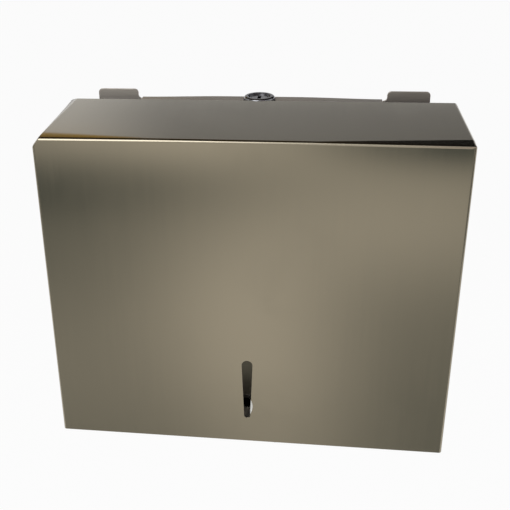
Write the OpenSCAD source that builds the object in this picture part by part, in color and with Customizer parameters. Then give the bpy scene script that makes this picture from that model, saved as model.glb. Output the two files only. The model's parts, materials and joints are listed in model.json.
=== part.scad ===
// Folded paper towel dispenser: a folded sheet cover that swings forward on two low rivets, a folded back
// body with a ledge and two ears, a tray with the dispensing mouth, and a hook cam lock on the ledge.
// The wall is the plane y = 0, the front faces -Y, and the origin is the middle of the four wall screws.

/* [Cover] */
// Width of the cover across its side flanges
cover_w = 280; // [240:1:340]
// Height of the front, from its bottom edge to the top face
cover_h = 231; // [180:1:300]
// Depth of the top, from the front face to its rear edge
top_d = 95; // [75:1:130]
// Thickness of the cover's sheet
cover_t = 1; // [0.7:0.1:1.4]
// Outside radius of the bends around the front
bend_r = 2; // [1.6:0.1:4]
// Radius of the top's rear corners, seen from above
top_corner_r = 2.5; // [1.6:0.1:6]
// How far the side flanges are cut down behind the top
step_h = 8; // [6:0.5:20]
// Radius of the inner corner of that cut
step_r = 3; // [1:0.5:6]
// Radius of the lower rear corners of the side flanges
flange_corner_r = 4; // [1:0.5:12]

/* [Sight slot] */
// Height of the slot's lower end above the bottom edge
slot_low = 20.6; // [18:0.1:40]
// Length of the slot
slot_len = 48.7; // [30:0.1:90]
// Radius of the slot's round upper end
slot_top_r = 3.75; // [3:0.05:8]
// Radius of the slot's round lower end
slot_low_r = 2.2; // [1:0.05:2.9]

/* [Back body] */
// Thickness of the body's sheet
body_t = 1.2; // [0.8:0.1:1.6]
// Outside radius of the body's bends
body_bend_r = 2.4; // [1.8:0.1:4]
// How far the body's feet reach below the cover's bottom edge
foot_drop = 1; // [0.6:0.1:4]
// Distance from the top face down to the upper edge of the cheeks
cheek_drop = 9; // [8:0.5:40]
// Depth of the cheeks at their upper edge
cheek_top_d = 62; // [40:1:80]
// Radius of the cheeks' upper front corners
cheek_corner_r = 10; // [4:1:20]

/* [Ledge and ears] */
// Distance from the top face down to the ledge
ledge_drop = 2.6; // [2.4:0.1:4]
// How far the ledge reaches under the top's rear edge
ledge_reach = 6; // [5.4:0.1:10]
// Height of the lip along the ledge's front edge
lip_h = 7; // [4:0.5:11]
// Distance across the two ears
ears_w = 248; // [220:1:260]
// Width of an ear
ear_w = 31; // [20:1:40]
// Height of the ears above the top face
ear_h = 2; // [0.5:0.5:16]
// Radius of the ears' upper corners
ear_corner_r = 3; // [1:0.5:8]
// Radius of the fillet at an ear's inner root
ear_root_r = 2.5; // [1:0.5:5]
// Width of the relief between that root and the ledge
ear_relief = 1; // [0.8:0.1:3]

/* [Hinge] */
// Distance from the front face back to the hinge axis
hinge_back = 7.5; // [7:0.1:12]
// Height of the hinge axis above the bottom edge
hinge_up = 12; // [11:0.5:16]
// Gap between a side flange and its cheek
hinge_gap = 2; // [1.6:0.1:3]
// Radius of the rivet's shank
rivet_r = 2.5; // [2:0.1:3]
// Radius of the rivet's head inside the cheek
rivet_head_r = 4; // [3.5:0.1:5]
// Thickness of that head
rivet_head_h = 1.6; // [1:0.1:3]
// How far the end of the rivet's shank lies inside the flange's outer face
rivet_inset = 0.1; // [0.05:0.05:0.4]
// Radius of the nylon washer
hinge_washer_r = 5.2; // [4.5:0.1:5.4]

/* [Towel tray] */
// Thickness of the tray's sheet
tray_t = 1; // [0.8:0.1:1.4]
// Height of the tray's underside above the bottom edge
tray_up = 3.4; // [2.6:0.1:5]
// Outside radius of the tray's bends
tray_bend_r = 2; // [1.6:0.1:3]
// Height of the tray's front lip
tray_lip_h = 12; // [8:0.5:30]
// Height of the tray's side and rear flanges
tray_side_h = 20; // [14:0.5:40]
// Size of the square reliefs at the tray's corners
tray_relief = 4; // [3.2:0.1:6]
// Width of the dispensing mouth
mouth_w = 210; // [120:1:220]
// Depth of the dispensing mouth
mouth_d = 27; // [24:0.5:45]
// Distance from the tray's front face back to the mouth
mouth_back = 5; // [4.2:0.1:20]
// Radius of the mouth's corners
mouth_corner_r = 11; // [4:0.5:12]
// Depth of the collar around the mouth
mouth_collar_h = 2.4; // [1:0.1:3]
// Number of rivets on each side of the tray
tray_rivet_n = 3; // [2:1:4]
// Radius of a tray rivet's shank
tray_rivet_r = 1.6; // [1.2:0.1:2]
// Radius of a tray rivet's head
tray_rivet_head_r = 3.2; // [2.6:0.1:4]
// Thickness of a tray rivet's head
tray_rivet_head_h = 0.9; // [0.6:0.1:1.1]

/* [Lock] */
// Distance from the wall to the lock's axis
lock_y = 12; // [11.7:0.1:13]
// Radius of the lock's head
lock_head_r = 11.4; // [9:0.1:11.6]
// Height of the lock's head above the top face
lock_proud = 0.8; // [0.5:0.1:4]
// Radius of the head's rounded rim
lock_rim_r = 1.6; // [0.6:0.1:2]
// Thickness of the black gasket under the head
gasket_t = 1.2; // [0.6:0.1:1.6]
// How far the gasket shows around the head
gasket_rim = 0.3; // [0:0.1:0.5]
// Radius of the barrel
barrel_r = 8; // [7.6:0.1:8.4]
// Distance between the barrel's two flats
barrel_flats = 14; // [13.2:0.1:15]
// Length of the barrel below the ledge's top face
barrel_len = 14; // [13:0.5:20]
// Radius of the turning plug
plug_r = 6; // [5:0.05:6.2]
// Radius of the dish in the head
dish_r = 8.2; // [6.8:0.1:9]
// Depth of that dish
dish_d = 1.2; // [0.3:0.1:1.5]
// Width of the keyway
key_w = 2.4; // [1.6:0.1:3]
// Length of the keyway across the plug
key_len = 8.6; // [6:0.1:9]
// Depth of the keyway
key_d = 9; // [5:0.5:12]
// Thickness of the toothed washer
tooth_washer_t = 0.8; // [0.5:0.1:1.2]
// Radius of the toothed washer
tooth_washer_r = 9.5; // [9:0.1:9.9]
// Depth of the gaps between its teeth
tooth_d = 0.6; // [0.3:0.1:0.7]
// Number of teeth on that washer
tooth_n = 12; // [8:1:16]
// Distance across the flats of the nut
nut_flats = 20; // [19:0.1:20.4]
// Thickness of the nut
nut_t = 4; // [3:0.5:5]
// Gap between the lock's head and the arc cut from the top's rear edge around it
notch_gap = 1.1; // [0.8:0.1:3]
// Depth of that cut
notch_d = 1.5; // [0.8:0.1:6]
// Radius of its rounded ends
notch_end_r = 2.5; // [1:0.1:3]

/* [Cam and keeper] */
// Thickness of the cam
cam_t = 2; // [1.5:0.1:3]
// Radius of the cam's hub
cam_hub_r = 9; // [7:0.1:9.5]
// Width of the cam's arm
cam_arm_w = 6; // [5:0.1:6.5]
// Radial width of the cam's hook
cam_hook_w = 3.5; // [3:0.1:5]
// Angle from the arm to the end of the hook
cam_hook_angle = 36; // [33:1:45]
// Side of the square that drives the cam
cam_square = 6.4; // [5:0.1:7]
// Thickness of the washer under the cam screw
cam_washer_t = 0.9; // [0.6:0.1:1.2]
// Radius of that washer
cam_washer_r = 5.5; // [5:0.1:7]
// Radius of the cam screw's shank
cam_screw_r = 2; // [1.5:0.1:2.2]
// Length of the cam screw's shank in the plug
cam_screw_len = 7; // [4:0.5:9]
// Radius of the cam screw's head
cam_screw_head_r = 3.8; // [3:0.1:4.8]
// Height of the cam screw's head
cam_screw_head_h = 2.6; // [2:0.1:4]
// Length of the cross recess in the cam screw's head
cross_len = 4.6; // [3:0.1:5.4]
// Width of the cross recess
cross_w = 1; // [0.6:0.1:1.4]
// Depth of the cross recess
cross_d = 1.3; // [0.6:0.1:1.8]
// Gap between the ledge's lip and the keeper stud
keeper_gap = 1.1; // [0.8:0.1:3]
// Angle of the keeper stud from straight ahead of the lock
keeper_angle = 24; // [23.5:0.5:25.5]
// Radius of the keeper stud
keeper_r = 2.5; // [2:0.1:2.6]
// Radius of the flange that is welded to the cover
keeper_pad_r = 5; // [4:0.1:6]
// Thickness of that flange
keeper_pad_t = 1; // [0.8:0.1:1.2]
// How far the stud reaches below the cam
keeper_past = 2; // [1.2:0.1:5]

/* [Cover pads] */
// Length of a rubber pad
pad_len = 16; // [8:1:30]
// Width of a rubber pad
pad_w = 4.6; // [3:0.1:5]
// Distance between the two pads
pad_pitch = 120; // [70:1:140]
// Radius of a pad's corners
pad_corner_r = 1; // [0.3:0.1:1.4]

/* [Wall screws] */
// Distance between the screw holes across
screw_pitch_x = 180; // [100:1:220]
// Distance between the screw holes in height
screw_pitch_z = 120; // [60:1:150]
// Radius of the screw holes
screw_hole_r = 2.75; // [2:0.05:4]
// Height of the middle of the screws above the bottom edge
screw_mid_up = 118; // [100:1:130]

/* [Clearances] */
// Gap between the side flanges and the wall
wall_gap = 1; // [0.5:0.1:3]
// Radial running clearance of the hinge and of the plug
running_gap = 0.08; // [0.03:0.01:0.1]
// Gap around a rivet, barrel or square in its hole
hole_gap = 0.05; // [0.02:0.01:0.1]
// Gap between flat faces that slide on each other
slide_gap = 0.1; // [0.05:0.01:0.3]
// Gap between the open cover's bottom edge and the tray's front
stop_gap = 0.6; // [0.5:0.1:2]
// Gap between the keeper stud and the cam around it
hook_gap = 1.3; // [0.7:0.1:1.5]

/* [Hidden] */
$fn = 96;
// Overshoot of a cutting shape past the face that it cuts
over = 1;
steel = [0.56, 0.54, 0.48];
bright = [0.8, 0.8, 0.82];
black = [0.08, 0.08, 0.08];
nylon = [0.9, 0.89, 0.85];

// Planes of the cover, whose top's rear edge lies as far from the wall as the arc around the lock needs
notch_r = lock_head_r + notch_gap;
rear_edge_y = notch_d - notch_r - lock_y;
front_y = rear_edge_y - top_d;
base_z = -screw_mid_up;
top_z = base_z + cover_h;
cover_in_r = bend_r - cover_t;

// Hinge axis, the lobe of each cheek around it, and the tray's front face that stops the open cover
pivot_y = front_y + hinge_back;
pivot_z = base_z + hinge_up;
lobe_r = hinge_back - cover_t - stop_gap;
tray_front_y = pivot_y + hinge_up + stop_gap;

// Body behind the cover
body_w = cover_w - 2 * cover_t - 2 * hinge_gap;
body_in_r = body_bend_r - body_t;
foot_z = base_z - foot_drop;
cheek_top_z = top_z - cheek_drop;

// Ledge and ears
ledge_z = top_z - ledge_drop;
ledge_d = ledge_reach - rear_edge_y;
lip_z = ledge_z - lip_h;
ear_out_x = ears_w / 2;
ear_in_x = ear_out_x - ear_w;
ear_root_z = ledge_z - body_bend_r;
hood_x = ear_in_x - ear_root_r - ear_relief;

// Tray
tray_w = body_w - 2 * body_t;
tray_z = base_z + tray_up;
tray_d = -body_t - tray_front_y;
tray_rivet_z = tray_z + tray_side_h / 2 + tray_t;

// Lock, from the top down
lock_c = [0, -lock_y];
head_z = ledge_z + gasket_t;
head_top_z = top_z + lock_proud;
barrel_end_z = ledge_z - barrel_len;
cam_z = barrel_end_z - slide_gap - cam_t;
cam_washer_z = cam_z - cam_washer_t;
bore_r = plug_r + running_gap;

// Keeper stud, beside the locked arm and behind the locked hook
keeper_reach = (ledge_d + keeper_gap + keeper_r - lock_y) / cos(keeper_angle);
keeper_c = lock_c + keeper_reach * [-sin(keeper_angle), -cos(keeper_angle)];
keeper_tip_z = cam_z - keeper_past;
hook_in_r = keeper_reach + keeper_r + hook_gap;
hook_out_r = hook_in_r + cam_hook_w;

// Extrusions along each axis, from a drawing in the plane across it
module along_x(from, to) { translate([from, 0, 0]) rotate([90, 0, 90]) linear_extrude(to - from) children(); }
module along_y(from, to) { translate([0, to, 0]) rotate([90, 0, 0]) linear_extrude(to - from) children(); }
module along_z(from, to) { translate([0, 0, from]) linear_extrude(to - from) children(); }

// Cylinder along X between two places, at a point of the side view
module cross_pin(from, to, y, z, r) {
    along_x(from, to) translate([y, z]) circle(r);
}

// What is cut away to round a corner at the origin whose material lies towards +x and +y
module corner_waste(r) {
    difference() {
        translate([-over, -over]) square(r + over);
        translate([r, r]) circle(r);
    }
}

// Rectangle from one corner to the other, with the radii [lower left, lower right, upper right, upper left]
module rounded_rect(low, high, radii) {
    flips = [[0, 0], [1, 0], [1, 1], [0, 1]];
    difference() {
        translate(low) square(high - low);
        for (k = [0:3])
            if (radii[k] > 0)
                translate([flips[k].x ? high.x : low.x, flips[k].y ? high.y : low.y])
                    flipped(flips[k]) corner_waste(radii[k]);
    }
}

// Mirrors a corner for rounded_rect
module flipped(flip) {
    mirror([flip.x, 0, 0]) mirror([0, flip.y, 0]) children();
}

// Direction of the outer tangent of two circles, on the left of the way from the first to the second
function tangent_dir(c1, r1, c2, r2) =
    let (way = c2 - c1) atan2(way.y, way.x) + acos((r1 - r2) / norm(way));
function on_circle(c, r, angle) = c + r * [cos(angle), sin(angle)];

// Two round ends joined by straight sides
module tapered_bar(c1, r1, c2, r2) {
    left = tangent_dir(c1, r1, c2, r2);
    right = tangent_dir(c2, r2, c1, r1);
    translate(c1) circle(r1);
    translate(c2) circle(r2);
    polygon([on_circle(c1, r1, left), on_circle(c2, r2, left), on_circle(c2, r2, right),
        on_circle(c1, r1, right)]);
}

// The cover's outer form, or with an inset the space inside its sheet, which runs out below and behind
module cover_form(inset) {
    half = cover_w / 2 - inset;
    r = bend_r - inset;
    past = inset > 0 ? over : 0;
    intersection() {
        along_z(base_z - past, top_z)
            rounded_rect([-half, front_y + inset], [half, past - wall_gap], [r, r, 0, 0]);
        along_x(-half, half)
            rounded_rect([front_y + inset, base_z - past], [past - wall_gap, top_z - inset], [0, 0, 0, r]);
        along_y(front_y, past - wall_gap)
            rounded_rect([-half, base_z - past], [half, top_z - inset], [0, 0, r, r]);
    }
}

// What is cut from the side flanges behind the top
module flange_cuts() {
    along_x(-cover_w, cover_w) {
        rounded_rect([rear_edge_y, top_z - step_h], [over, top_z + over], [step_r, 0, 0, 0]);
        translate([-wall_gap, base_z]) mirror([1, 0, 0]) corner_waste(flange_corner_r);
    }
    along_z(top_z - step_h, top_z + over)
        for (side = [0, 1])
            mirror([side, 0, 0])
                translate([cover_w / 2, rear_edge_y]) rotate(180) corner_waste(top_corner_r);
}

// The arc cut from the top's rear edge around the lock, with its two ends rounded
module lock_notch() {
    end_y = rear_edge_y - notch_end_r;
    end_x = sqrt(pow(notch_r + notch_end_r, 2) - pow(lock_c.y - end_y, 2));
    end_c = [end_x, end_y];
    touch = lock_c + notch_r / (notch_r + notch_end_r) * (end_c - lock_c);
    along_z(top_z - step_h, top_z + over) {
        translate(lock_c) circle(notch_r);
        for (side = [0, 1])
            mirror([side, 0, 0])
                difference() {
                    polygon([end_c, [end_x, rear_edge_y], [end_x, rear_edge_y + over],
                        [touch.x, rear_edge_y + over], touch]);
                    translate(end_c) circle(notch_end_r);
                }
    }
}

module sight_slot() {
    along_y(front_y - over, front_y + cover_t + over)
        tapered_bar([0, base_z + slot_low + slot_low_r], slot_low_r,
            [0, base_z + slot_low + slot_len - slot_top_r], slot_top_r);
}

module front_cover() {
    color(steel)
        difference() {
            cover_form(0);
            cover_form(cover_t);
            flange_cuts();
            lock_notch();
            sight_slot();
            cross_pin(-cover_w, cover_w, pivot_y, pivot_z, rivet_r + running_gap);
        }
}

// Flange that is welded under the top, and the stud that hangs from it past the cam
module keeper_stud() {
    pad_z = top_z - cover_t - keeper_pad_t;
    color(bright)
        translate(keeper_c) {
            along_z(pad_z, top_z - cover_t) circle(keeper_pad_r);
            along_z(keeper_tip_z, top_z - cover_t) circle(keeper_r);
        }
}

// Side view of a cheek: a lobe around the hinge, a sloping front edge and a foot behind the tray's front
module cheek_outline() {
    lobe_c = [pivot_y, pivot_z];
    corner_c = [-cheek_top_d + cheek_corner_r, cheek_top_z - cheek_corner_r];
    slope = tangent_dir(lobe_c, lobe_r, corner_c, cheek_corner_r);
    translate(lobe_c) circle(lobe_r);
    translate(corner_c) circle(cheek_corner_r);
    polygon([on_circle(lobe_c, lobe_r, slope), on_circle(corner_c, cheek_corner_r, slope),
        [corner_c.x, cheek_top_z], [0, cheek_top_z], [0, foot_z], [tray_front_y, foot_z],
        [tray_front_y, pivot_z - lobe_r], [pivot_y, pivot_z - lobe_r], lobe_c]);
}

// Back plate and cheeks: a channel seen from above, trimmed to the cheeks' side view
module channel() {
    half = body_w / 2;
    reach_y = pivot_y - lobe_r;
    intersection() {
        along_z(foot_z, cheek_top_z)
            difference() {
                rounded_rect([-half, reach_y], [half, 0], [0, 0, body_bend_r, body_bend_r]);
                rounded_rect([-half + body_t, reach_y - over], [half - body_t, -body_t],
                    [0, 0, body_in_r, body_in_r]);
            }
        along_x(-half, half) cheek_outline();
    }
}

// Side view of the ledge with its rear leg, which runs into the back plate, and its front lip
module hood_outline() {
    low_z = min(cheek_top_z - body_t, lip_z);
    difference() {
        rounded_rect([-ledge_d, low_z], [0, ledge_z], [0, 0, body_bend_r, body_bend_r]);
        rounded_rect([-ledge_d + body_t, low_z - over], [-body_t, ledge_z - body_t],
            [0, 0, body_in_r, body_in_r]);
        translate([-ledge_d - over, low_z - over]) square([body_t + 2 * over, lip_z - low_z + over]);
    }
}

// Ear that stands straight up from the back plate, and its root with the relief beside the ledge
module ear() {
    low_z = cheek_top_z - body_t;
    along_y(-body_t, 0) {
        rounded_rect([ear_in_x, low_z], [ear_out_x, top_z + ear_h], [0, 0, ear_corner_r, ear_corner_r]);
        translate([hood_x - body_t, low_z]) square([ear_in_x - hood_x + 2 * body_t, ear_root_z - low_z]);
        translate([ear_in_x, ear_root_z]) mirror([1, 0, 0]) fillet(ear_root_r);
    }
}

// Fillet in a corner at the origin between the ground and a wall on its left
module fillet(r) {
    difference() {
        square(r);
        translate([r, r]) circle(r);
    }
}

// Section of the barrel, or with a gap the hole that it passes through
module barrel_outline(gap) {
    half = barrel_flats / 2 + gap;
    intersection() {
        circle(barrel_r + gap);
        translate([-barrel_r - over, -half]) square([2 * (barrel_r + over), 2 * half]);
    }
}

module back_body() {
    color(steel)
        difference() {
            union() {
                channel();
                along_x(-hood_x, hood_x) hood_outline();
                for (side = [0, 1])
                    mirror([side, 0, 0]) ear();
            }
            along_z(ledge_z - body_t - over, ledge_z + over) translate(lock_c) barrel_outline(hole_gap);
            for (x = [-1, 1], z = [-1, 1])
                along_y(-body_t - over, over)
                    translate([x * screw_pitch_x / 2, z * screw_pitch_z / 2]) circle(screw_hole_r);
            cross_pin(-cover_w, cover_w, pivot_y, pivot_z, rivet_r + hole_gap);
            tray_rivet_places() cross_pin(-cover_w, cover_w, 0, 0, tray_rivet_r + hole_gap);
        }
}

// Each rivet place along the side of the tray
module tray_rivet_places() {
    inset = tray_d / (tray_rivet_n + 1);
    for (k = [1:tray_rivet_n])
        translate([0, tray_front_y + k * inset, tray_rivet_z]) children();
}

// The tray's outer form, or with an inset the space inside its sheet, which runs out above
module tray_form(inset) {
    half = tray_w / 2 - inset;
    r = tray_bend_r - inset;
    high_z = tray_z + tray_side_h + (inset > 0 ? over : 0);
    intersection() {
        along_x(-half, half)
            rounded_rect([tray_front_y + inset, tray_z + inset], [-body_t - inset, high_z], [r, r, 0, 0]);
        along_y(tray_front_y, -body_t)
            rounded_rect([-half, tray_z + inset], [half, high_z], [r, r, 0, 0]);
    }
}

// The mouth seen from above, widened by the thickness of its collar or not
module mouth_outline(wider) {
    front_edge = tray_front_y + mouth_back;
    r = mouth_corner_r + wider;
    rounded_rect([-mouth_w / 2 - wider, front_edge - wider],
        [mouth_w / 2 + wider, front_edge + mouth_d + wider], [r, r, r, r]);
}

module towel_tray() {
    color(steel)
        difference() {
            union() {
                difference() {
                    tray_form(0);
                    tray_form(tray_t);
                }
                along_z(tray_z - mouth_collar_h, tray_z + tray_t) mouth_outline(tray_t);
            }
            along_z(tray_z - mouth_collar_h - over, tray_z + tray_side_h) mouth_outline(0);
            along_x(-tray_w / 2 + tray_relief, tray_w / 2 - tray_relief)
                translate([tray_front_y - over, tray_z + tray_lip_h])
                    square([tray_t + 2 * over, tray_side_h]);
            for (side = [-1, 1], y = [tray_front_y, -body_t - tray_relief])
                translate([side * (tray_w - tray_relief) / 2, y + tray_relief / 2, tray_z + tray_side_h / 2])
                    cube([tray_relief, tray_relief, tray_side_h + 2 * over], center = true);
            tray_rivet_places() cross_pin(-cover_w, cover_w, 0, 0, tray_rivet_r + hole_gap);
        }
}

// Rivet on the right side: head inside the cheek, and a shank that ends just inside the flange's outer face
module hinge_rivet() {
    in_x = body_w / 2 - body_t;
    color(bright) {
        cross_pin(in_x - rivet_head_h, in_x, pivot_y, pivot_z, rivet_head_r);
        cross_pin(in_x - rivet_head_h / 2, cover_w / 2 - rivet_inset, pivot_y, pivot_z, rivet_r);
    }
}

module hinge_rivet_left() { mirror([1, 0, 0]) hinge_rivet(); }
module hinge_rivet_right() { hinge_rivet(); }

module hinge_washer() {
    color(nylon)
        difference() {
            cross_pin(body_w / 2, body_w / 2 + hinge_gap - slide_gap, pivot_y, pivot_z, hinge_washer_r);
            cross_pin(0, cover_w, pivot_y, pivot_z, rivet_r + hole_gap);
        }
}

module hinge_washer_left() { mirror([1, 0, 0]) hinge_washer(); }
module hinge_washer_right() { hinge_washer(); }

// Blind rivets through the right cheek and the tray's side flange
module tray_rivets() {
    out_x = body_w / 2;
    in_x = tray_w / 2 - tray_t;
    color(bright)
        tray_rivet_places() {
            cross_pin(out_x, out_x + tray_rivet_head_h, 0, 0, tray_rivet_head_r);
            cross_pin(in_x - tray_rivet_head_h / 2, out_x + tray_rivet_head_h / 2, 0, 0, tray_rivet_r);
            cross_pin(in_x - tray_rivet_head_h, in_x, 0, 0, tray_rivet_head_r);
        }
}

module tray_rivets_left() { mirror([1, 0, 0]) tray_rivets(); }
module tray_rivets_right() { tray_rivets(); }

// Round head with a rolled rim and a dish, on a barrel with two flats, bored for the plug
module lock_body() {
    color(bright)
        translate(lock_c)
            difference() {
                union() {
                    rotate_extrude()
                        rounded_rect([0, head_z], [lock_head_r, head_top_z], [0, 0, lock_rim_r, 0]);
                    along_z(barrel_end_z, head_z + lock_rim_r) barrel_outline(0);
                }
                along_z(barrel_end_z - over, head_top_z + over) circle(bore_r);
                along_z(head_top_z - dish_d, head_top_z + over) circle(dish_r);
            }
}

module lock_gasket() {
    color(black)
        translate(lock_c)
            along_z(ledge_z, head_z)
                difference() {
                    circle(lock_head_r + gasket_rim);
                    circle(barrel_r + hole_gap);
                }
}

// Washer with teeth around its rim that bite the ledge's underside
module lock_tooth_washer() {
    low_z = ledge_z - body_t - tooth_washer_t;
    tooth_w = PI * tooth_washer_r / tooth_n;
    color(bright)
        translate(lock_c)
            along_z(low_z, low_z + tooth_washer_t)
                difference() {
                    circle(tooth_washer_r);
                    circle(barrel_r + hole_gap);
                    for (k = [0:tooth_n - 1])
                        rotate(k * 360 / tooth_n)
                            translate([tooth_washer_r, 0]) square([2 * tooth_d, tooth_w], center = true);
                }
}

// Hexagon nut with two of its flats parallel to the wall
module lock_nut() {
    top = ledge_z - body_t - tooth_washer_t;
    color(bright)
        translate(lock_c)
            along_z(top - nut_t, top)
                difference() {
                    circle(nut_flats / 2 / cos(30), $fn = 6);
                    circle(barrel_r + hole_gap);
                }
}

// Turning core: keyway at the top, a square for the cam and a hole for its screw at the bottom
module lock_plug() {
    face_z = head_top_z - dish_d;
    color(bright)
        translate(lock_c)
            difference() {
                union() {
                    along_z(barrel_end_z - slide_gap, face_z) circle(plug_r);
                    along_z(cam_z + slide_gap, barrel_end_z) square(cam_square - 2 * hole_gap, center = true);
                }
                along_z(face_z - key_d, face_z + over) square([key_w, key_len], center = true);
                along_z(cam_z - over, cam_z + cam_screw_len + cam_t + slide_gap)
                    circle(cam_screw_r + hole_gap);
            }
}

// Hub, arm and hook. It lies unlocked, with the arm towards +X and the hook on its front side
module lock_cam() {
    mid_r = (hook_in_r + hook_out_r) / 2;
    color(bright)
        translate(lock_c)
            along_z(cam_z, cam_z + cam_t)
                difference() {
                    union() {
                        circle(cam_hub_r);
                        intersection() {
                            circle(hook_out_r);
                            translate([0, -cam_arm_w / 2]) square([hook_out_r, cam_arm_w]);
                        }
                        intersection() {
                            difference() {
                                circle(hook_out_r);
                                circle(hook_in_r);
                            }
                            polygon([[0, 0], on_circle([0, 0], 2 * hook_out_r, -cam_hook_angle),
                                [2 * hook_out_r, 0]]);
                        }
                        translate(on_circle([0, 0], mid_r, -cam_hook_angle)) circle(cam_hook_w / 2);
                    }
                    square(cam_square, center = true);
                }
}

module cam_washer() {
    color(bright)
        translate(lock_c)
            along_z(cam_washer_z, cam_z)
                difference() {
                    circle(cam_washer_r);
                    circle(cam_screw_r + hole_gap);
                }
}

module cam_screw() {
    head_low_z = cam_washer_z - cam_screw_head_h;
    color(bright)
        translate(lock_c)
            difference() {
                union() {
                    along_z(head_low_z, cam_washer_z) circle(cam_screw_head_r);
                    along_z(head_low_z, cam_z + cam_t + cam_screw_len) circle(cam_screw_r);
                }
                along_z(head_low_z - over, head_low_z + cross_d) {
                    square([cross_len, cross_w], center = true);
                    square([cross_w, cross_len], center = true);
                }
            }
}

// Rubber pad on the ledge under the top's rear edge, on the right side
module cover_pad() {
    mid_y = (rear_edge_y - ledge_d) / 2;
    pad_h = ledge_drop - cover_t - slide_gap;
    color(black)
        along_z(ledge_z, ledge_z + pad_h)
            rounded_rect([(pad_pitch - pad_len) / 2, mid_y - pad_w / 2],
                [(pad_pitch + pad_len) / 2, mid_y + pad_w / 2], pad_corner_r * [1, 1, 1, 1]);
}

module cover_pad_left() { mirror([1, 0, 0]) cover_pad(); }
module cover_pad_right() { cover_pad(); }

front_cover();
keeper_stud();
back_body();
towel_tray();
hinge_rivet_left();
hinge_rivet_right();
hinge_washer_left();
hinge_washer_right();
tray_rivets_left();
tray_rivets_right();
lock_body();
lock_gasket();
lock_tooth_washer();
lock_nut();
lock_plug();
lock_cam();
cam_washer();
cam_screw();
cover_pad_left();
cover_pad_right();
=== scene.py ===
"""Looks of a folded sheet dispenser for paper towels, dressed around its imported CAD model.

Lengths are in metres in the CAD frame: +X to the viewer's right, +Y into the wall, +Z up. The origin is the
middle of the four wall screws.
"""

import json
import logging
import math
from dataclasses import dataclass
from enum import Enum
from typing import Callable, Mapping, Optional, Sequence, Union

import bmesh
import bpy
from bmesh.types import BMesh
from bpy.types import Material, Node, NodeSocket, NodeTree, Object, World
from mathutils import Matrix, Vector

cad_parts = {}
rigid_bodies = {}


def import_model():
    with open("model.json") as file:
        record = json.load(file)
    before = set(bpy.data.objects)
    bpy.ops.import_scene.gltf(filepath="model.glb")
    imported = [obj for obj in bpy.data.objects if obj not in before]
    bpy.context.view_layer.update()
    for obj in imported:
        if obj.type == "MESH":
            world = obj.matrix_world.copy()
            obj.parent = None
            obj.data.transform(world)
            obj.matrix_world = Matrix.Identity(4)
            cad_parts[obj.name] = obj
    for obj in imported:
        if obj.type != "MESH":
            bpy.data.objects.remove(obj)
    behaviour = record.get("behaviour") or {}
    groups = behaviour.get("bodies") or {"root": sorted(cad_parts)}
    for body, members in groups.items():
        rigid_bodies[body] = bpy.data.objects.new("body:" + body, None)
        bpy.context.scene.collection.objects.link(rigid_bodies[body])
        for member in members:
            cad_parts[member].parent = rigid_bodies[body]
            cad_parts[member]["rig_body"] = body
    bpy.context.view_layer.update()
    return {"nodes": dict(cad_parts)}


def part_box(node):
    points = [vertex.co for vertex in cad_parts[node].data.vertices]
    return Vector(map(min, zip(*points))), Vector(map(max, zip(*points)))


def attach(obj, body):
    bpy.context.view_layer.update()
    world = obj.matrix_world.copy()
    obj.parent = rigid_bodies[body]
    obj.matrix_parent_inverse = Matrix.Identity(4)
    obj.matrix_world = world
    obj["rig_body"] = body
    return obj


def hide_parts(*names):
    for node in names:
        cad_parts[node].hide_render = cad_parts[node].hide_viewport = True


for leftover in list(bpy.data.objects):
    bpy.data.objects.remove(leftover)
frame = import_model()

LOG = logging.getLogger("dispenser")
MM = 0.001
LEVEL_COSINE = 0.7
SAME_PLACE = 0.002 * MM
FLAT_ANGLE = math.radians(0.2)
SHARP_ANGLE = math.radians(35)
EASE_STEPS = 2
Colour = tuple[float, float, float]
Point = tuple[float, float, float]
Span = tuple[float, float]
Feed = Union[NodeSocket, float, int, tuple, Vector]


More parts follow.
